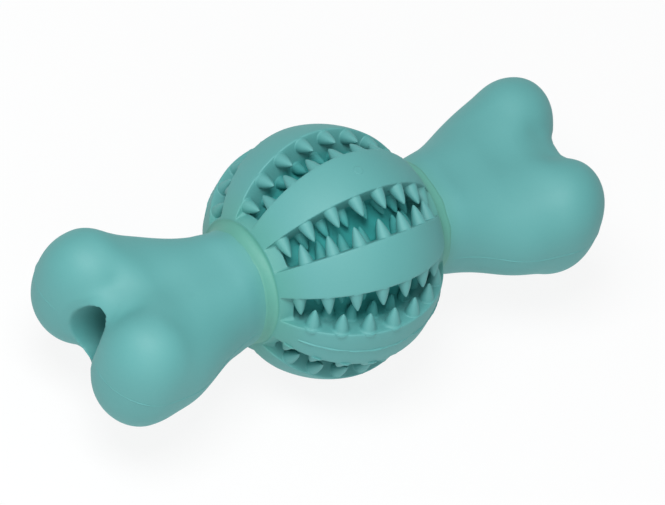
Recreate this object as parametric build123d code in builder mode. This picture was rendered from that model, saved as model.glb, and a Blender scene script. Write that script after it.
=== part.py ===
from build123d import *
import math
import os

# Rubber chew toy, millimetres. Y runs along the bone, Z is the normal of the parting plane,
# and the origin is the centre of the ball. Angles round the bone start at X and rise towards Z.

# Ball: a round body, a little flat along the bone, with lengthwise grooves full of teeth.
ball_radius = 32.5
ball_flat_ratio = 0.92
ball_half_length = ball_radius * ball_flat_ratio
collar_radius = 16.3
collar_y = ball_half_length * math.sqrt(1 - (collar_radius / ball_radius) ** 2)
groove_count = 8
groove_angle = 180 / groove_count
groove_depth = 10.5
floor_flat_y = 8.0
floor_end_y = 19.5
floor_end_depth = 10.5
land_angle = 31.0
facet_length = 3.6
facet_drop = 0.8
cut_margin = 4.0

# Teeth on the side walls of the grooves.
tooth_sides = 6
tooth_root = 0.4
outer_tooth_radius = 1.9
outer_tooth_length = 5.1
inner_tooth_radius = 1.6
inner_tooth_length = 4.3
tooth_tip_radius = 0.35
outer_row_depth = 2.2
row_step = 4.5
tooth_pitch_angle = 14.5
wall_tooth_count = 8

# Bone: two half shells with a shaft through the ball and a knuckle at each end.
shoulder_width = 4.3
shaft_radius = collar_radius - shoulder_width
bond_thickness = 0.4
bond_proud = 0.4
neck_y = collar_y + bond_thickness
neck_step = 0.1
neck_radius = collar_radius - neck_step
lobe_y = 65.4
lobe_spread = 14.2
lobe_radius = 12.0
lobe_half_height = 16.7
lobe_fullness = 0.735
crown_angle = 75.0
bridge_setback = 3.0
bridge_half_length = 12.5
bridge_half_height = 11.8
bore_radius = 5.8
mouth_half_width = 5.9
mouth_half_height = 8.4
mouth_setback = 8.0
tip_y = lobe_y + lobe_radius
mouth_y = lobe_y - mouth_setback

# Flash bead on the parting line of the ball.
bead_height = 0.45
bead_width = 0.9
bead_setback = 3.6
bead_half_length = collar_y - bead_setback
bead_angle = math.degrees(bead_width / ball_radius)

os.makedirs("parts", exist_ok=True)


def surface_y(polar):
    return ball_half_length * math.cos(math.radians(polar))


def surface_r(polar):
    return ball_radius * math.sin(math.radians(polar))


def below_surface(polar, depth):
    ny = math.cos(math.radians(polar)) / ball_half_length
    nr = math.sin(math.radians(polar)) / ball_radius
    size = math.hypot(ny, nr)
    return surface_y(polar) - depth * ny / size, surface_r(polar) - depth * nr / size


def meridian(longitude):
    turn = math.radians(longitude)
    return Plane((0, 0, 0), x_dir=(0, 1, 0), z_dir=(math.sin(turn), 0, -math.cos(turn)))


def across_bone(y):
    return Plane((0, y, 0), x_dir=(1, 0, 0), z_dir=(0, -1, 0))


def tooth_plane(longitude, polar, depth, side):
    turn = math.radians(longitude)
    y, r = below_surface(polar, depth)
    spot = (r * math.cos(turn), y, r * math.sin(turn))
    across = (-side * math.sin(turn), 0, side * math.cos(turn))
    return Plane(spot, x_dir=(0, 1, 0), z_dir=across)


# Ball half, upper: body, grooves, then teeth.
land_y, land_r = surface_y(land_angle), surface_r(land_angle)
facet_y = land_y - facet_length
facet_r = land_r - facet_drop
floor_flat_r = ball_radius - groove_depth
floor_r = ball_radius * math.sqrt(1 - (floor_end_y / ball_half_length) ** 2) - floor_end_depth
outside = ball_radius + cut_margin
bone_axis = Axis((0, 0, 0), (0, -1, 0))

with BuildPart() as outer_tooth:
    with BuildSketch(Plane.XY.offset(-tooth_root)):
        RegularPolygon(outer_tooth_radius, tooth_sides)
    with BuildSketch(Plane.XY.offset(outer_tooth_length)):
        RegularPolygon(tooth_tip_radius, tooth_sides)
    loft(ruled=True)

with BuildPart() as inner_tooth:
    with BuildSketch(Plane.XY.offset(-tooth_root)):
        RegularPolygon(inner_tooth_radius, tooth_sides)
    with BuildSketch(Plane.XY.offset(inner_tooth_length)):
        RegularPolygon(tooth_tip_radius, tooth_sides)
    loft(ruled=True)

outer_spots = []
inner_spots = []
for n in range(groove_count // 2):
    first = groove_angle / 2 + 2 * groove_angle * n
    facing = first + groove_angle
    for longitude, side, teeth in ((first, 1, wall_tooth_count), (facing, -1, wall_tooth_count - 1)):
        for k in range(teeth):
            polar = 90 + (k - (teeth - 1) / 2) * tooth_pitch_angle
            outer_spots.append(tooth_plane(longitude, polar, outer_row_depth, side))
        for k in range(teeth - 1):
            polar = 90 + (k - (teeth - 2) / 2) * tooth_pitch_angle
            inner_spots.append(tooth_plane(longitude, polar, outer_row_depth + row_step, side))

with BuildPart() as ball_upper_half:
    with BuildSketch(meridian(0)):
        Ellipse(ball_half_length, ball_radius)
        with Locations((0, shaft_radius)):
            Rectangle(2 * collar_y, outside, align=(Align.CENTER, Align.MIN), mode=Mode.INTERSECT)
    revolve(axis=bone_axis, revolution_arc=180)
    for n in range(groove_count // 2):
        start = groove_angle / 2 + 2 * groove_angle * n
        with BuildSketch(meridian(start)):
            with BuildLine():
                Polyline(
                    (-land_y - cut_margin, outside),
                    (-land_y, land_r),
                    (-facet_y, facet_r),
                    (-floor_end_y, floor_r),
                    (-floor_flat_y, floor_flat_r),
                    (floor_flat_y, floor_flat_r),
                    (floor_end_y, floor_r),
                    (facet_y, facet_r),
                    (land_y, land_r),
                    (land_y + cut_margin, outside),
                    close=True,
                )
            make_face()
        revolve(axis=bone_axis, revolution_arc=groove_angle, mode=Mode.SUBTRACT)
    with Locations(*outer_spots):
        add(outer_tooth.part)
    with Locations(*inner_spots):
        add(inner_tooth.part)
ball_upper_half.part.label = "ball_upper_half"
export_step(ball_upper_half.part, "parts/ball_upper_half.step")

with BuildPart() as ball_lower_half:
    add(ball_upper_half.part, rotation=(0, 180, 0))
ball_lower_half.part.label = "ball_lower_half"
export_step(ball_lower_half.part, "parts/ball_lower_half.step")

# Bone half shell, upper. Each row is a cross-section of the knuckle: its place between the neck
# and the lobes, how far it has flared from neck to lobes, the place of its crest as a share of its
# width, and the heights of the crest and of the valley as shares of the lobe's height.
lobe_half_width = lobe_spread + lobe_radius
sections = (
    (0.20, -0.13, 0.28, 0.86, 0.86),
    (0.40, 0.16, 0.36, 0.80, 0.78),
    (0.60, 0.57, 0.45, 0.80, 0.72),
    (0.80, 0.86, 0.52, 0.88, 0.70),
    (0.95, 0.97, 0.54, 0.97, 0.68),
)

with BuildPart() as lobe:
    with BuildSketch(Plane.XZ):
        with BuildLine():
            middle = (lobe_fullness * lobe_radius, lobe_fullness * lobe_half_height)
            Spline((lobe_radius, 0), middle, (0, lobe_half_height), tangents=[(0, 1), (-1, 0)])
            Polyline((0, lobe_half_height), (0, 0), (lobe_radius, 0))
        make_face()
    revolve(axis=Axis.Z)

with BuildPart() as bridge:
    with BuildSketch(Plane.YZ):
        Ellipse(bridge_half_length, bridge_half_height)
        Rectangle(
            2 * bridge_half_length,
            bridge_half_height,
            align=(Align.CENTER, Align.MIN),
            mode=Mode.INTERSECT,
        )
    extrude(amount=lobe_spread, both=True)

with BuildPart() as knuckle:
    with BuildSketch(across_bone(neck_y)):
        with BuildLine():
            CenterArc((0, 0), neck_radius, 0, crown_angle)
            CenterArc((0, 0), neck_radius, crown_angle, 180 - 2 * crown_angle)
            CenterArc((0, 0), neck_radius, 180 - crown_angle, crown_angle)
            Line((-neck_radius, 0), (neck_radius, 0))
        make_face()
    for place, flare, crest_place, crest_share, valley_share in sections:
        wide = neck_radius + flare * (lobe_half_width - neck_radius)
        crest_x = crest_place * wide
        crest = crest_share * lobe_half_height
        valley = (0, valley_share * lobe_half_height)
        with BuildSketch(across_bone(neck_y + place * (lobe_y - neck_y))):
            with BuildLine():
                EllipticalCenterArc((crest_x, 0), wide - crest_x, crest, 0, arc_size=90)
                Spline((crest_x, crest), valley, (-crest_x, crest), tangents=[(-1, 0), (-1, 0)])
                EllipticalCenterArc((-crest_x, 0), wide - crest_x, crest, 90, arc_size=90)
                Line((-wide, 0), (wide, 0))
            make_face()
    loft()
    with Locations((lobe_spread, lobe_y, 0), (-lobe_spread, lobe_y, 0)):
        add(lobe.part)
    with Locations((0, lobe_y - bridge_setback, 0)):
        add(bridge.part)

with BuildPart() as bone_upper_shell:
    with BuildSketch(across_bone(0)):
        Circle(shaft_radius)
        Rectangle(
            2 * shaft_radius,
            shaft_radius,
            align=(Align.CENTER, Align.MIN),
            mode=Mode.INTERSECT,
        )
    extrude(amount=neck_y, both=True)
    add(knuckle.part)
    add(knuckle.part, rotation=(0, 0, 180))
    with BuildSketch(across_bone(0)):
        Circle(bore_radius)
    extrude(amount=tip_y, both=True, mode=Mode.SUBTRACT)
    for side in (1, -1):
        with BuildSketch(across_bone(side * mouth_y)):
            Ellipse(mouth_half_width, mouth_half_height)
        extrude(amount=-side * (tip_y - mouth_y), mode=Mode.SUBTRACT)
bone_upper_shell.part.label = "bone_upper_shell"
export_step(bone_upper_shell.part, "parts/bone_upper_shell.step")

with BuildPart() as bone_lower_shell:
    add(bone_upper_shell.part, rotation=(0, 180, 0))
bone_lower_shell.part.label = "bone_lower_shell"
export_step(bone_lower_shell.part, "parts/bone_lower_shell.step")

# Cement rings between the ends of the ball and the shoulders of the bone.
with BuildPart() as left_neck_bond:
    with BuildSketch(across_bone(neck_y)):
        Circle(collar_radius + bond_proud)
        Circle(shaft_radius, mode=Mode.SUBTRACT)
    extrude(amount=bond_thickness)
left_neck_bond.part.label = "left_neck_bond"
export_step(left_neck_bond.part, "parts/left_neck_bond.step")

with BuildPart() as right_neck_bond:
    add(left_neck_bond.part, rotation=(0, 0, 180))
right_neck_bond.part.label = "right_neck_bond"
export_step(right_neck_bond.part, "parts/right_neck_bond.step")

# Flash beads along the parting line of the ball.
with BuildPart() as near_seam_bead:
    with BuildSketch(meridian(180 - bead_angle / 2)):
        Ellipse(ball_half_length + bead_height, ball_radius + bead_height)
        Ellipse(ball_half_length, ball_radius, mode=Mode.SUBTRACT)
        Rectangle(
            2 * bead_half_length,
            outside,
            align=(Align.CENTER, Align.MIN),
            mode=Mode.INTERSECT,
        )
    revolve(axis=bone_axis, revolution_arc=bead_angle)
near_seam_bead.part.label = "near_seam_bead"
export_step(near_seam_bead.part, "parts/near_seam_bead.step")

with BuildPart() as far_seam_bead:
    add(near_seam_bead.part, rotation=(0, 180, 0))
far_seam_bead.part.label = "far_seam_bead"
export_step(far_seam_bead.part, "parts/far_seam_bead.step")
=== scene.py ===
import math

import bmesh
import bpy
import numpy as np
from mathutils import Matrix, Vector, noise


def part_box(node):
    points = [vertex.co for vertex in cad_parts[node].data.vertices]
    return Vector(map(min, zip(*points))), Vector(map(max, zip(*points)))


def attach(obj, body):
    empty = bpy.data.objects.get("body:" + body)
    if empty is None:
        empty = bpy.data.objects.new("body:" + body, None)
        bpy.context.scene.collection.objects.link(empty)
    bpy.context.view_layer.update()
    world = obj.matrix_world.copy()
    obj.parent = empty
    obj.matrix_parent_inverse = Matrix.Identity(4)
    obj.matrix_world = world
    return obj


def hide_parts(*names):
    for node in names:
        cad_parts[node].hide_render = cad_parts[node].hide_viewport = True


# Rubber chew toy. Shapes are worked out in millimetres in the frame of the solids: Y runs along the
# bone, Z is the normal of the parting plane, and angles round the bone start at X and rise towards Z.
MM = 0.001
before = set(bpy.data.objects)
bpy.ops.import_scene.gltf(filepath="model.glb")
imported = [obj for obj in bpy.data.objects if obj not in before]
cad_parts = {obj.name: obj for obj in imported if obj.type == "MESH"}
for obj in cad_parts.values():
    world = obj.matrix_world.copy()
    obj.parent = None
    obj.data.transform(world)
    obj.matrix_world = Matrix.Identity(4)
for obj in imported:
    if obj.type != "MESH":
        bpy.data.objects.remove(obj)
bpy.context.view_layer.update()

# Meshes: how close points have to be to become one, and the angle from which an edge stays sharp.
MERGE = 0.001
MIRROR_MERGE = 0.002
SHARP_ANGLE = 40
MARK_SHARP_ANGLE = 70

# Ball, from the frame and the sizes that a box can't tell.
ball_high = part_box("ball_upper_half")[1] / MM
BALL_RADIUS = ball_high.x
COLLAR_Y = ball_high.y
COLLAR_RADIUS = 16.3
BALL_HALF_LENGTH = COLLAR_Y / math.sqrt(1 - (COLLAR_RADIUS / BALL_RADIUS) ** 2)
SHAFT_RADIUS = 12.0
STATION_STEP = 0.7

# Grooves. The flat at each end runs from the facet's inner edge out to the land.
GROOVE_COUNT = 8
GROOVE_ANGLE = 180 / GROOVE_COUNT
GROOVE_DEPTH = 10.5
FLOOR_FLAT_Y = 8.0
FLOOR_END_Y = 19.5
LAND_ANGLE = math.radians(31)
LAND_Y = BALL_HALF_LENGTH * math.cos(LAND_ANGLE)
LAND_RADIUS = BALL_RADIUS * math.sin(LAND_ANGLE)
FACET_LENGTH = 3.6
FACET_RISE = 0.8
FACET_Y = LAND_Y - FACET_LENGTH
FACET_RADIUS = LAND_RADIUS + FACET_RISE

# Rounded edges and corners of the grooves, with the most that each may take of a groove's depth.
EDGE_ROUND = 0.45
EDGE_SHARE = 0.45
CORNER_ROUND = 1.6
CORNER_SHARE = 0.3

# Points across half a rib and half a groove, and round half the hole for the shaft.
RIB_POINTS = 9
EDGE_POINTS = 6
WALL_POINTS = 8
CORNER_POINTS = 5
FLOOR_POINTS = 5
HOLE_POINTS = 25

# Teeth. Roots flare more on the near parting rib, up to an angle across the ball.
OUTER_TOOTH = {"radius": 1.9, "length": 5.1, "depth": 2.2}
INNER_TOOTH = {"radius": 1.6, "length": 4.5, "depth": 7.2}
TOOTH_PITCH = 14.5
WALL_TEETH = 8
TOOTH_FLARE = 0.3
PARTING_FLARE = 0.75
PARTING_FLARE_END = 95
TOOTH_TIP = 0.5
TIP_ROUNDING = 4
TIP_FLAT = 0.0001
TOOTH_SWELL = 1.2
TOOTH_SINK = 0.6
TOOTH_SIDES = 20
FLARE_POINTS = 5
CONE_POINTS = 12

# Bone. Most of the smoothing spares the mouths of the channel and the necks.
NECK_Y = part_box("left_neck_bond")[1].y / MM
MOUTH_HALF_WIDTH = 5.9
MOUTH_HALF_HEIGHT = 8.4
LOBE_X = 10.0
LOBE_Y = 60.0
VOXEL = 0.5
SMOOTH_FACTOR = 0.5
SMOOTH_PASSES = 180
SMOOTH_LOSS = 0.6
RIM_PASSES = 6
RIM_START = 1.05
RIM_EASE = 0.3
NECK_CLEAR = 0.5
NECK_EASE = 2.0

# The slight bend of the soft bone: places along it and how far it is off its axis there.
BEND_WAY = Vector((0.76, 0, 0.65))
BEND = (
    (-80, 0.9),
    (-66, 0.3),
    (-48, -0.7),
    (-NECK_Y, 0.0),
    (NECK_Y - 8, 0.0),
    (38, -1.5),
    (52, -1.5),
    (66, 0.1),
    (80, 1.2),
)

# Other small forms of the soft bone: slim necks, filled valleys between the lobes, and a far end
# that is slim and askew.
NECK_SLIM = 0.07
NECK_REACH = 9.0
VALLEY_FILL = 1.6
VALLEY_HALF_WIDTH = 15.0
VALLEY_START = 34.0
VALLEY_RISE = 14.0
VALLEY_END = 67.0
VALLEY_FALL = 10.0
BORE_CLEAR = 7.0
BORE_EASE = 3.0
FAR_SLIM = 0.03
FAR_START = 45.0
FAR_RISE = 15.0
SKEW = 0.8
SKEW_RISE = 35.0

# Fillets of cement at the necks.
BOND_CROWN = 0.15
BOND_REACH = 3.2
BOND_LEAST_REACH = 0.75
BOND_SINK = 0.3
BOND_STEP = 2
BOND_POINTS = 9
BOND_NOISE_RADIUS = 3.0

# Ridges left by the mould. A rise or a spread has a middle share and swings of (share, wave length).
# The seed step sets the waves of two seeds apart.
SEED_STEP = 0.37
RIDGE_POINTS = 7
RIDGE_EDGE = 0.04
RIDGE_SINK = 0.25
NEAR_ANGLE = 180
FAR_ANGLE = 0
BEAD_END_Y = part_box("near_seam_bead")[1].y / MM
BEAD_STATIONS = 150
BEAD_WIDTH = 0.9
BEAD_HEIGHT = 0.45
BEAD_LEAST_RISE = 0.12
BEAD_RISE = {"middle": 0.7, "swings": ((0.6, 3.5), (0.25, 0.8))}
BEAD_SPREAD = {"middle": 0.75, "swings": ((0.25, 2),)}
BEAD_DRIFT = ((0.7, 9), (0.25, 1.3))
SEAM_WIDTH = 0.5
SEAM_HEIGHT = 0.2
SEAM_FADE = 12
SEAM_SEED = 11
SEAM_RISE = {"middle": 0.75, "swings": ((0.5, 14),)}
SEAM_SPREAD = {"middle": 0.85, "swings": ((0.3, 9),)}
SEAM_PASSES = 4
SEAM_NECK_CLEAR = 1.5
SEAM_MOUTH_CLEAR = 0.4

# Mark of the moulding gate. Its profile is in shares of its radius and its height.
GATE_ANGLE = 90
GATE_Y = -1.0
GATE_RADIUS = 1.3
GATE_HEIGHT = 0.07
GATE_SIDES = 32
GATE_PROFILE = ((1.0, -0.3), (1.0, 0.0), (0.93, 0.8), (0.8, 1.0), (0.6, 0.75), (0.2, 0.55))

# Rubber.
BONE_COLOURS = {
    "pale": (0.075, 0.318, 0.312, 1),
    "deep": (0.069, 0.304, 0.298, 1),
    "neck": (0.073, 0.316, 0.262, 1),
}
BALL_COLOURS = {
    "pale": (0.074, 0.316, 0.308, 1),
    "deep": (0.068, 0.302, 0.294, 1),
    "neck": (0.072, 0.312, 0.256, 1),
}
CEMENT_COLOURS = {
    "pale": (0.072, 0.310, 0.250, 1),
    "deep": (0.066, 0.296, 0.238, 1),
    "neck": (0.070, 0.306, 0.244, 1),
}
# Painted shade in the grooves: the dark colour mixed into the rubber's colour, its largest share at the
# floors, and the depth in millimetres where it starts.
GROOVE_SHADE_COLOUR = (0.036, 0.310, 0.300, 1)
GROOVE_SHADE = 0.9
SHADE_START = 4.0
SHEEN = 1.0
SHEEN_END = 0.3
TINT_SHARE = 0.6
TINT_REACH = 7.0
MOTTLE_SCALE = 45
MOTTLE_DETAIL = 3
MOTTLE_RANGE = (0.3, 0.65)
ROUGHNESS = 0.68
ROUGHNESS_SWING = 0.06
GRAIN_SCALE = 1800
GRAIN_DETAIL = 4
GRAIN_STRENGTH = 0.12
GRAIN_DEPTH = 0.05

# Studio, in metres.
FLOOR_Z = -BALL_RADIUS * MM
FLOOR_SIZE = 3.0
FLOOR_SEGMENTS = 4
FLOOR_COLOUR = (0.86, 0.87, 0.87, 1)
FLOOR_GLOW = 0.88
WHITE = (1, 1, 1, 1)
AMBIENT_COLOUR = (0.95, 0.98, 1.0, 1)
AMBIENT = 0.31
KEY_LIGHT = {"place": (-0.06, 0.34, 0.82), "size": 0.4, "power": 6.6}
FILL_LIGHT = {"place": (-0.66, 0.45, 0.38), "size": 0.7, "power": 2.1}

# Camera, along the photograph's line of sight. Distances are in metres, lens and sensor in millimetres.
TO_CAMERA = Vector((-0.428, 0.516, 0.742)).normalized()
CAMERA_UP = Vector((0.727, -0.291, 0.622))
CAMERA_DISTANCE = 6.0
CAMERA_REACH = 20
CAMERA_LENS = 1286.2
CAMERA_SENSOR = 36
CAMERA_SHIFT = (0.0143, -0.0015)


# Numbers and points.
def clamped(share, least=0):
    return min(1, max(least, share))


def eased(share):
    """0 to 1 with a soft start and a soft end."""
    share = clamped(share)
    return share * share * (3 - 2 * share)


def wave(seed, place, scale):
    """Smooth unevenness from -1 to 1 along a line."""
    return noise.noise(Vector((place / scale, seed, SEED_STEP * seed)))


def uneven(seed, place, middle, swings):
    """A middle value with waves on it, each with a seed of its own."""
    value = middle
    for k, (share, scale) in enumerate(swings):
        value += share * wave(seed + k, place, scale)
    return value


def quarter(points):
    """Even steps through a quarter turn."""
    return np.linspace(0, math.pi / 2, points)


def bearings(sides):
    """Even steps through a full turn."""
    return [2 * math.pi * k / sides for k in range(sides)]


def round_bone(angle, y, radius):
    """The point at an angle round the bone, in degrees."""
    turn = math.radians(angle)
    return Vector((radius * math.cos(turn), y, radius * math.sin(turn)))


def heading(points, k):
    """The way a line runs at one of its points."""
    return points[min(k + 1, len(points) - 1)] - points[max(k - 1, 0)]


# Meshes and pieces.
def skin(bm, loops, closed=False):
    """Adds a skin through loops of equal length: a ring when closed, else capped at both ends."""
    rows = [[bm.verts.new(point * MM) for point in loop] for loop in loops]
    pairs = list(zip(rows, rows[1:]))
    if closed:
        pairs.append((rows[-1], rows[0]))
    else:
        bm.faces.new(rows[0][::-1])
        bm.faces.new(rows[-1])
    size = len(rows[0])
    for row, following in pairs:
        for k in range(size):
            after = (k + 1) % size
            bm.faces.new((row[k], row[after], following[after], following[k]))


def ridge(bm, places, outs, widths, heights):
    """A low rounded ridge along a line of places, half sunk in the surface."""
    loops = []
    for k, place in enumerate(places):
        side = heading(places, k).cross(outs[k]).normalized()
        loop = []
        for share in np.linspace(-1, 1, RIDGE_POINTS):
            lift = heights[k] * (1 - share ** 2) - RIDGE_EDGE
            loop.append(place + side * (share * widths[k] / 2) + outs[k] * lift)
        loop.append(place - outs[k] * RIDGE_SINK)
        loops.append(loop)
    skin(bm, loops)


def piece_from(bm, name, sharp_angle=SHARP_ANGLE):
    """A smooth-shaded object from the mesh being built."""
    bmesh.ops.remove_doubles(bm, verts=bm.verts, dist=MERGE * MM)
    bmesh.ops.recalc_face_normals(bm, faces=bm.faces)
    mesh = bpy.data.meshes.new(name)
    bm.to_mesh(mesh)
    bm.free()
    mesh.shade_smooth()
    mesh.set_sharp_from_angle(angle=math.radians(sharp_angle))
    piece = bpy.data.objects.new(name, mesh)
    bpy.context.collection.objects.link(piece)
    return piece


def applied(piece):
    """Puts the result of a piece's modifiers in its mesh."""
    shown = piece.evaluated_get(bpy.context.evaluated_depsgraph_get())
    mesh = bpy.data.meshes.new_from_object(shown)
    piece.modifiers.clear()
    piece.data = mesh


def dress(piece, material, slot, *nodes):
    """Gives a piece its material and its place in the frame; the slot is not used."""
    piece.data.materials.clear()
    piece.data.materials.append(material)
    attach(piece, "root")
    if nodes:
        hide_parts(*nodes)


# Ball.
def surface_radius(y):
    """How far the ribs stand off the axis at a place along it."""
    return BALL_RADIUS * math.sqrt(1 - (y / BALL_HALF_LENGTH) ** 2)


def surface_normal(angle, y):
    """The way out of the ball's full round body."""
    normal = round_bone(angle, 0, 1)
    normal.y = y * BALL_RADIUS / BALL_HALF_LENGTH ** 2 / (surface_radius(y) / BALL_RADIUS)
    return normal.normalized()


def groove_floor(y):
    """How far the floor of a groove is off the axis at a place along it."""
    flat_radius = BALL_RADIUS - GROOVE_DEPTH
    end_radius = surface_radius(FLOOR_END_Y) - GROOVE_DEPTH
    places = (FLOOR_FLAT_Y, FLOOR_END_Y, FACET_Y, LAND_Y)
    return np.interp(abs(y), places, (flat_radius, end_radius, FACET_RADIUS, LAND_RADIUS))


def half_rib(y):
    """(angle, radius) pairs from the middle of a rib, over its rounded edge, to the middle of a groove."""
    top = surface_radius(y)
    floor = min(top, groove_floor(y))
    edge = min(EDGE_ROUND, EDGE_SHARE * (top - floor))
    corner = min(CORNER_ROUND, CORNER_SHARE * (top - floor))
    wall = GROOVE_ANGLE / 2
    pairs = []
    for angle in np.linspace(0, wall - math.degrees(edge / top), RIB_POINTS)[:-1]:
        pairs.append((angle, top))
    for turn in quarter(EDGE_POINTS):
        angle = wall - math.degrees(edge * (1 - math.sin(turn)) / top)
        pairs.append((angle, top - edge * (1 - math.cos(turn))))
    for radius in np.linspace(top - edge, floor + corner, WALL_POINTS)[1:-1]:
        pairs.append((wall, radius))
    for turn in quarter(CORNER_POINTS):
        angle = wall + math.degrees(corner * (1 - math.cos(turn)) / floor)
        pairs.append((angle, floor + corner * (1 - math.sin(turn))))
    for angle in np.linspace(pairs[-1][0], GROOVE_ANGLE, FLOOR_POINTS)[1:]:
        pairs.append((angle, floor))
    return pairs


def half_section(y, turn):
    """Closed section through half the ball, with its half of the hole for the shaft."""
    pairs = half_rib(y)
    back = pairs[-2:0:-1]
    outline = []
    for n in range(GROOVE_COUNT // 2):
        start = turn + 2 * GROOVE_ANGLE * n
        outline += [round_bone(start + angle, y, radius) for angle, radius in pairs]
        outline += [round_bone(start + 2 * GROOVE_ANGLE - angle, y, radius) for angle, radius in back]
    outline.append(round_bone(turn + 180, y, surface_radius(y)))
    for angle in np.linspace(180, 0, HOLE_POINTS):
        outline.append(round_bone(turn + angle, y, SHAFT_RADIUS))
    return outline


def ball_stations():
    """Places of the ball's sections: at each change of a groove's floor, and in even steps between."""
    keys = (0, FLOOR_FLAT_Y, FLOOR_END_Y, FACET_Y, LAND_Y, COLLAR_Y)
    half = []
    for low, high in zip(keys, keys[1:]):
        steps = math.ceil((high - low) / STATION_STEP)
        half += list(np.linspace(low, high, steps + 1)[1:])
    return [-y for y in reversed(half)] + [0] + half


def tooth_profile(size, flare):
    """(height, radius) pairs of a tooth: a flared root, a slightly swollen cone, a round tip."""
    profile = [(-TOOTH_SINK, size["radius"] + flare)]
    for turn in quarter(FLARE_POINTS):
        height = flare * (1 - math.cos(turn))
        profile.append((height, size["radius"] + flare * (1 - math.sin(turn))))
    for share in np.sin(quarter(CONE_POINTS))[1:]:
        cone = (size["radius"] - TOOTH_TIP) * (1 - share ** TOOTH_SWELL)
        tip = TOOTH_TIP * math.sqrt(1 + TIP_FLAT - share ** TIP_ROUNDING)
        profile.append((flare + share * (size["length"] - flare), cone + tip))
    return profile


def tooth(bm, angle, polar, side, size, flare):
    """A tooth that stands square on a groove wall."""
    across_ball = math.radians(polar)
    y = BALL_HALF_LENGTH * math.cos(across_ball)
    radius = BALL_RADIUS * math.sin(across_ball)
    outward = Vector((0, math.cos(across_ball) / BALL_HALF_LENGTH, math.sin(across_ball) / BALL_RADIUS))
    outward.normalize()
    root = round_bone(angle, y - size["depth"] * outward.y, radius - size["depth"] * outward.z)
    turn = math.radians(angle)
    axis = Vector((-side * math.sin(turn), 0, side * math.cos(turn)))
    along = Vector((0, 1, 0))
    third = axis.cross(along)
    loops = []
    for height, spread in tooth_profile(size, flare):
        loop = []
        for bearing in bearings(TOOTH_SIDES):
            offset = along * math.cos(bearing) + third * math.sin(bearing)
            loop.append(root + axis * height + offset * spread)
        loops.append(loop)
    skin(bm, loops)


def ball_half(name, turn):
    """Half the ball, closed, with the teeth of its four grooves."""
    bm = bmesh.new()
    skin(bm, [half_section(y, turn) for y in ball_stations()])
    for n in range(GROOVE_COUNT // 2):
        first = turn + GROOVE_ANGLE / 2 + 2 * GROOVE_ANGLE * n
        for angle, side, teeth in ((first, 1, WALL_TEETH), (first + GROOVE_ANGLE, -1, WALL_TEETH - 1)):
            near_rib = abs(angle - NEAR_ANGLE) < GROOVE_ANGLE
            for size, count in ((OUTER_TOOTH, teeth), (INNER_TOOTH, teeth - 1)):
                for k in range(count):
                    polar = 90 + (k - (count - 1) / 2) * TOOTH_PITCH
                    flared = near_rib and polar < PARTING_FLARE_END
                    tooth(bm, angle, polar, side, size, PARTING_FLARE if flared else TOOTH_FLARE)
    return piece_from(bm, name)


def flash_bead(name, angle, seed):
    """The flash left on the parting rib of the ball: a thin fin, torn short in places."""
    bm = bmesh.new()
    places, outs, widths, heights = [], [], [], []
    for y in np.linspace(-BEAD_END_Y, BEAD_END_Y, BEAD_STATIONS):
        drift = uneven(seed, y, angle, BEAD_DRIFT)
        outs.append(surface_normal(drift, y))
        places.append(round_bone(drift, y, surface_radius(y)))
        rise = uneven(seed + 2, y, **BEAD_RISE)
        heights.append(BEAD_HEIGHT * clamped(rise, BEAD_LEAST_RISE))
        widths.append(BEAD_WIDTH * uneven(seed + 4, y, **BEAD_SPREAD))
    ridge(bm, places, outs, widths, heights)
    return piece_from(bm, name, MARK_SHARP_ANGLE)


def gate_mark(name):
    """The faint round mark of the moulding gate, on the crown of the ball."""
    bm = bmesh.new()
    loops = []
    for share, lift in GATE_PROFILE:
        loop = []
        for bearing in bearings(GATE_SIDES):
            y = GATE_Y + share * GATE_RADIUS * math.cos(bearing)
            reach = math.degrees(share * GATE_RADIUS * math.sin(bearing) / BALL_RADIUS)
            loop.append(round_bone(GATE_ANGLE + reach, y, surface_radius(y) + lift * GATE_HEIGHT))
        loops.append(loop)
    skin(bm, loops)
    return piece_from(bm, name, MARK_SHARP_ANGLE)


# Bone.
def closed_bone(name):
    """The upper half shell and its mirror image, joined in the parting plane."""
    bm = bmesh.new()
    bm.from_mesh(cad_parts["bone_upper_shell"].data)
    bmesh.ops.remove_doubles(bm, verts=bm.verts, dist=MERGE * MM)
    parting = [face for face in bm.faces if all(abs(v.co.z) < MERGE * MM for v in face.verts)]
    bmesh.ops.delete(bm, geom=parting, context="FACES")
    upper = bm.verts[:] + bm.edges[:] + bm.faces[:]
    bmesh.ops.mirror(bm, geom=upper, matrix=Matrix(), merge_dist=MIRROR_MERGE * MM, axis="Z")
    return piece_from(bm, name)


def smoothing_share(point):
    """How freely a point of the bone is smoothed: not at the mouths of the channel, nor at the necks."""
    x, y, z = point / MM
    from_mouth = math.hypot(x / MOUTH_HALF_WIDTH, z / MOUTH_HALF_HEIGHT)
    rim = clamped((from_mouth - RIM_START) / RIM_EASE)
    neck = clamped((abs(y) - NECK_Y - NECK_CLEAR) / NECK_EASE)
    return rim * neck


def bone_body(name):
    """Both half shells as one moulded skin, with soft transitions between shank and lobes."""
    piece = closed_bone(name)
    remesh = piece.modifiers.new("voxels", "REMESH")
    remesh.mode = "VOXEL"
    remesh.voxel_size = VOXEL * MM
    applied(piece)
    group = piece.vertex_groups.new(name="smoothed")
    for vertex in piece.data.vertices:
        group.add([vertex.index], smoothing_share(vertex.co), "REPLACE")
    smooth = piece.modifiers.new("soft", "SMOOTH")
    smooth.factor = SMOOTH_FACTOR
    smooth.iterations = SMOOTH_PASSES
    smooth.vertex_group = group.name
    refill = piece.modifiers.new("refill", "DISPLACE")
    refill.strength = SMOOTH_LOSS * MM
    refill.mid_level = 0
    refill.vertex_group = group.name
    rim = piece.modifiers.new("rim", "SMOOTH")
    rim.factor = SMOOTH_FACTOR
    rim.iterations = RIM_PASSES
    applied(piece)
    piece.vertex_groups.clear()
    piece.data.shade_smooth()
    return piece


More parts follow.
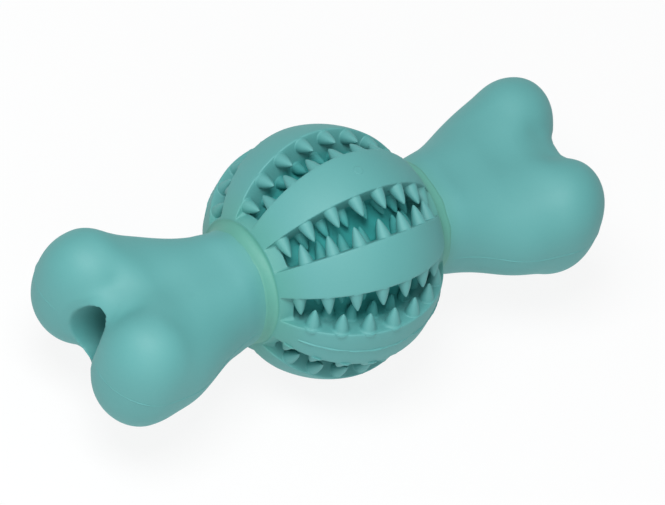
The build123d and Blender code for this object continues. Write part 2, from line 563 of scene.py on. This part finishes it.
def bend_at(y):
    """How far the bone has bent at a place along it, in millimetres."""
    for (start, before), (end, after) in zip(BEND, BEND[1:]):
        if start <= y <= end:
            return before + (after - before) * eased((y - start) / (end - start))
    return 0.0


def bent(piece):
    """Gives a piece of the bone the slight bend and the other small forms of the soft rubber."""
    for vertex in piece.data.vertices:
        x, y, z = vertex.co / MM
        neck = 1 - eased((abs(y) - NECK_Y) / NECK_REACH)
        slim = 1 - NECK_SLIM * neck - FAR_SLIM * eased((-y - FAR_START) / FAR_RISE)
        fill = VALLEY_FILL * max(0, 1 - (x / VALLEY_HALF_WIDTH) ** 2) ** 2
        fill *= eased((abs(y) - VALLEY_START) / VALLEY_RISE) * eased((VALLEY_END - abs(y)) / VALLEY_FALL)
        fill *= eased((abs(z) - BORE_CLEAR) / BORE_EASE)
        skew = SKEW * eased((-y - NECK_Y) / SKEW_RISE) * x / LOBE_X
        moved = Vector((x * slim, y - skew, z * slim + math.copysign(fill, z)))
        vertex.co = (moved + BEND_WAY * bend_at(y)) * MM
    return piece


def parting_lines(bone):
    """The closed lines in which the parting plane cuts the bone's skin, each back to its first point.

    The edges are kept in order, so that every run gives the same lines.
    """
    bm = bmesh.new()
    bm.from_mesh(bone.data)
    whole = bm.verts[:] + bm.edges[:] + bm.faces[:]
    cut = bmesh.ops.bisect_plane(bm, geom=whole, plane_co=(0, 0, 0), plane_no=(0, 0, 1))["geom_cut"]
    edges = dict.fromkeys(edge for edge in cut if isinstance(edge, bmesh.types.BMEdge))
    lines = []
    while edges:
        edge = next(iter(edges))
        edges.pop(edge)
        line = [edge.verts[0], edge.verts[1]]
        for end in (0, -1):
            growing = True
            while growing:
                links = [link for link in line[end].link_edges if link in edges]
                growing = bool(links)
                if growing:
                    edges.pop(links[0])
                    line.insert(0 if end == 0 else len(line), links[0].other_vert(line[end]))
        lines.append([vertex.co / MM for vertex in line])
    bm.free()
    return lines


def on_outside(point):
    """Whether a point of a parting line is clear of the necks and of the channel."""
    clear_of_neck = abs(point.y) > NECK_Y + SEAM_NECK_CLEAR
    return clear_of_neck and abs(point.x) > MOUTH_HALF_WIDTH + SEAM_MOUTH_CLEAR


def seam_stretches(line):
    """The stretches of a closed parting line that lie on the outside of the bone."""
    hidden = next(k for k, point in enumerate(line) if not on_outside(point))
    stretch = []
    for point in line[hidden:] + line[:hidden + 1]:
        if on_outside(point):
            stretch.append(point)
        elif stretch:
            yield stretch
            stretch = []


def evened(points):
    """A line with its small kinks smoothed out and its ends in place."""
    for _ in range(SEAM_PASSES):
        middle = [(a + 2 * b + c) / 4 for a, b, c in zip(points, points[1:], points[2:])]
        points = points[:1] + middle + points[-1:]
    return points


def bone_seam(name, bone):
    """The fine raised parting line of the bone."""
    bm = bmesh.new()
    for line in parting_lines(bone):
        for stretch in seam_stretches(line[:-1]):
            points = evened(stretch)
            outs, widths, heights = [], [], []
            for k, point in enumerate(points):
                out = heading(points, k).cross(Vector((0, 0, 1))).normalized()
                lobe = Vector((math.copysign(LOBE_X, point.x), math.copysign(LOBE_Y, point.y), 0))
                outs.append(out if out.dot(point - lobe) > 0 else -out)
                fade = min(1, min(k, len(points) - 1 - k) / SEAM_FADE)
                heights.append(SEAM_HEIGHT * fade * uneven(SEAM_SEED, k, **SEAM_RISE))
                widths.append(SEAM_WIDTH * uneven(SEAM_SEED + 1, k, **SEAM_SPREAD))
            ridge(bm, points, outs, widths, heights)
    return piece_from(bm, name, MARK_SHARP_ANGLE)


# Necks.
def neck_bond(name, side, seed, bone):
    """The fillet of cement between the ball's collar and a shoulder of the bone, run out on the bone."""
    bm = bmesh.new()
    loops = []
    for angle in range(0, 360, BOND_STEP):
        swell = 0.5 + 0.5 * noise.noise(round_bone(angle, seed, BOND_NOISE_RADIUS))
        crown = COLLAR_RADIUS + BOND_CROWN * swell
        edge = round_bone(angle, side * COLLAR_Y, crown)
        foot_y = NECK_Y + BOND_REACH * (BOND_LEAST_REACH + (1 - BOND_LEAST_REACH) * swell)
        inward = round_bone(angle + 180, 0, 1)
        start = round_bone(angle, side * foot_y, BALL_RADIUS)
        foot = bone.ray_cast(start * MM, inward)[1] / MM
        loop = [round_bone(angle, side * COLLAR_Y, SHAFT_RADIUS)]
        loop.append(round_bone(angle, side * (COLLAR_Y - BOND_SINK), crown - BOND_SINK))
        for turn in quarter(BOND_POINTS):
            mixed = edge.lerp(foot, math.sin(turn))
            mixed.y = side * (foot_y - (foot_y - COLLAR_Y) * math.cos(turn))
            loop.append(mixed)
        loop.append(foot + inward * BOND_SINK + Vector((0, side * BOND_SINK, 0)))
        loop.append(round_bone(angle, side * NECK_Y, SHAFT_RADIUS))
        loops.append(loop)
    skin(bm, loops, closed=True)
    return piece_from(bm, name, MARK_SHARP_ANGLE)


# Shader nodes.
def feed(tree, node, inputs):
    """Sets inputs of a node: to values, or to links from the outputs of other nodes."""
    for key, value in inputs.items():
        if isinstance(value, bpy.types.NodeSocket):
            tree.links.new(value, node.inputs[key])
        else:
            node.inputs[key].default_value = value


def add_node(tree, kind, inputs):
    node = tree.nodes.new("ShaderNode" + kind)
    feed(tree, node, inputs)
    return node


def result(tree, operation, first, second=0.0):
    """What an operation makes of one or two values."""
    node = add_node(tree, "Math", {0: first, 1: second})
    node.operation = operation
    return node.outputs["Value"]


def mapped(tree, value, source, target=(0.0, 1.0), kind="LINEAR"):
    """A value moved from one range to another."""
    node = add_node(tree, "MapRange", {"Value": value})
    node.interpolation_type = kind
    feed(tree, node, {"From Min": source[0], "From Max": source[1]})
    feed(tree, node, {"To Min": target[0], "To Max": target[1]})
    return node.outputs["Result"]


def mixed_colour(tree, factor, first, second):
    node = add_node(tree, "Mix", {})
    node.data_type = "RGBA"
    feed(tree, node, {"Factor": factor, "A": first, "B": second})
    return node.outputs["Result"]


def noise_at(tree, place, scale, detail):
    node = add_node(tree, "TexNoise", {"Vector": place, "Scale": scale, "Detail": detail})
    return node.outputs["Fac"]


def seen_rays(tree):
    """1 for the rays that show the backdrop: from the camera, off gloss and through clear pieces."""
    path = add_node(tree, "LightPath", {}).outputs
    gloss = result(tree, "MAXIMUM", path["Is Camera Ray"], path["Is Glossy Ray"])
    return result(tree, "MAXIMUM", gloss, path["Is Transmission Ray"])


def show_mix(tree, output, factor, first, second):
    """Sends a mix of two shaders to an output."""
    mixed = add_node(tree, "MixShader", {"Fac": factor, 1: first, 2: second})
    feed(tree, tree.nodes[output], {"Surface": mixed.outputs["Shader"]})


# Materials.
def neck_share(tree, place):
    """How much of the necks' tint shows: most at the necks, none a little way off."""
    y = add_node(tree, "SeparateXYZ", {"Vector": place}).outputs["Y"]
    from_neck = result(tree, "SUBTRACT", result(tree, "ABSOLUTE", y), NECK_Y * MM)
    distance = result(tree, "ABSOLUTE", from_neck)
    return mapped(tree, distance, (0.0, TINT_REACH * MM), (TINT_SHARE, 0.0), "SMOOTHSTEP")


def groove_share(tree, place):
    """0 on the outside of the ball and the bone, rising to 1 at the floors of the grooves: the mask of the
    painted shade there and of their matt finish.
    """
    scale = (1 / BALL_RADIUS / MM, 1 / BALL_HALF_LENGTH / MM, 1 / BALL_RADIUS / MM)
    shape = add_node(tree, "VectorMath", {0: place, 1: scale})
    shape.operation = "MULTIPLY"
    reach = add_node(tree, "VectorMath", {0: shape.outputs["Vector"]})
    reach.operation = "LENGTH"
    depths = (1 - SHADE_START / BALL_RADIUS, 1 - GROOVE_DEPTH / BALL_RADIUS)
    return mapped(tree, reach.outputs["Value"], depths, kind="SMOOTHSTEP")


def rubber(name, colours):
    """Satin moulded rubber: soft mottling, a greener tint by the necks, matt grooves with painted shade
    darkening them towards their floors, a fine grain.
    """
    material = bpy.data.materials.new(name)
    material.use_nodes = True
    tree = material.node_tree
    place = add_node(tree, "TexCoord", {}).outputs["Object"]
    mottle = mapped(tree, noise_at(tree, place, MOTTLE_SCALE, MOTTLE_DETAIL), MOTTLE_RANGE)
    colour = mixed_colour(tree, mottle, colours["deep"], colours["pale"])
    colour = mixed_colour(tree, neck_share(tree, place), colour, colours["neck"])
    depth = groove_share(tree, place)
    # Painted shade: the base colour darkens towards the floors of the grooves.
    colour = mixed_colour(tree, result(tree, "MULTIPLY", depth, GROOVE_SHADE), colour, GROOVE_SHADE_COLOUR)
    sheen = mapped(tree, depth, (0.0, SHEEN_END), (SHEEN, 0.0))
    grain = noise_at(tree, place, GRAIN_SCALE, GRAIN_DETAIL)
    matt = mapped(tree, grain, (0.0, 1.0), (ROUGHNESS - ROUGHNESS_SWING, ROUGHNESS + ROUGHNESS_SWING))
    bump = add_node(tree, "Bump", {"Strength": GRAIN_STRENGTH, "Height": grain})
    feed(tree, bump, {"Distance": GRAIN_DEPTH * MM})
    shader = tree.nodes["Principled BSDF"]
    feed(tree, shader, {"Base Color": colour, "Specular IOR Level": sheen})
    feed(tree, shader, {"Roughness": matt, "Normal": bump.outputs["Normal"]})
    return material


def studio_white(name):
    """A pale floor that the camera sees as white, with a faint shadow left on it."""
    material = bpy.data.materials.new(name)
    material.use_nodes = True
    tree = material.node_tree
    tree.nodes.remove(tree.nodes["Principled BSDF"])
    paint = add_node(tree, "BsdfDiffuse", {"Color": FLOOR_COLOUR})
    glow = add_node(tree, "Emission", {"Color": WHITE, "Strength": 1.0})
    share = result(tree, "MULTIPLY", seen_rays(tree), FLOOR_GLOW)
    show_mix(tree, "Material Output", share, paint.outputs["BSDF"], glow.outputs["Emission"])
    return material


# Studio.
def add_floor():
    bm = bmesh.new()
    bmesh.ops.create_grid(bm, x_segments=FLOOR_SEGMENTS, y_segments=FLOOR_SEGMENTS, size=FLOOR_SIZE)
    bmesh.ops.translate(bm, verts=bm.verts, vec=(0, 0, FLOOR_Z))
    floor = piece_from(bm, "floor")
    floor.data.materials.append(studio_white("studio_floor"))


def add_light(name, place, size, power):
    """A square lamp that faces the middle of the toy."""
    data = bpy.data.lights.new(name, "AREA")
    data.size = size
    data.energy = power
    lamp = bpy.data.objects.new(name, data)
    lamp.location = place
    lamp.rotation_euler = (-Vector(place)).to_track_quat("-Z", "Y").to_euler()
    bpy.context.collection.objects.link(lamp)


def add_world():
    """Soft light from all round, and a white backdrop."""
    world = bpy.data.worlds.new("studio")
    bpy.context.scene.world = world
    world.use_nodes = True
    tree = world.node_tree
    ambient = tree.nodes["Background"]
    feed(tree, ambient, {"Color": AMBIENT_COLOUR, "Strength": AMBIENT})
    backdrop = add_node(tree, "Background", {"Color": WHITE, "Strength": 1.0})
    rays = seen_rays(tree)
    show_mix(tree, "World Output", rays, ambient.outputs["Background"], backdrop.outputs["Background"])


def add_camera():
    data = bpy.data.cameras.new("camera")
    data.sensor_width = CAMERA_SENSOR
    data.sensor_fit = "HORIZONTAL"
    data.lens = CAMERA_LENS
    data.shift_x, data.shift_y = CAMERA_SHIFT
    data.clip_end = CAMERA_REACH
    camera = bpy.data.objects.new("camera", data)
    right = CAMERA_UP.cross(TO_CAMERA).normalized()
    up = TO_CAMERA.cross(right)
    turn = Matrix((right, up, TO_CAMERA)).transposed()
    camera.matrix_world = Matrix.Translation(TO_CAMERA * CAMERA_DISTANCE) @ turn.to_4x4()
    bpy.context.collection.objects.link(camera)
    bpy.context.scene.camera = camera


# The toy. The bonds come after the bone is bent, because they run out on it.
bone_rubber = rubber("bone_rubber", BONE_COLOURS)
ball_rubber = rubber("ball_rubber", BALL_COLOURS)
cement = rubber("rubber_cement", CEMENT_COLOURS)

bone = bone_body("bone")
seam = bone_seam("bone_seam", bone)
dress(bent(bone), bone_rubber, "bone_rubber", "bone_upper_shell", "bone_lower_shell")
dress(bent(seam), bone_rubber, "bone_rubber")
dress(ball_half("ball_upper", 0), ball_rubber, "ball_rubber", "ball_upper_half")
dress(ball_half("ball_lower", 180), ball_rubber, "ball_rubber", "ball_lower_half")
dress(flash_bead("near_flash", NEAR_ANGLE, seed=3), ball_rubber, "ball_rubber", "near_seam_bead")
dress(flash_bead("far_flash", FAR_ANGLE, seed=8), ball_rubber, "ball_rubber", "far_seam_bead")
dress(gate_mark("gate_mark"), ball_rubber, "ball_rubber")
dress(neck_bond("left_bond", 1, seed=2, bone=bone), cement, "rubber_cement", "left_neck_bond")
dress(neck_bond("right_bond", -1, seed=5, bone=bone), cement, "rubber_cement", "right_neck_bond")

# The scene.
add_floor()
add_world()
add_light("key", **KEY_LIGHT)
add_light("fill", **FILL_LIGHT)
add_camera()
bpy.context.scene.view_settings.view_transform = "Standard"
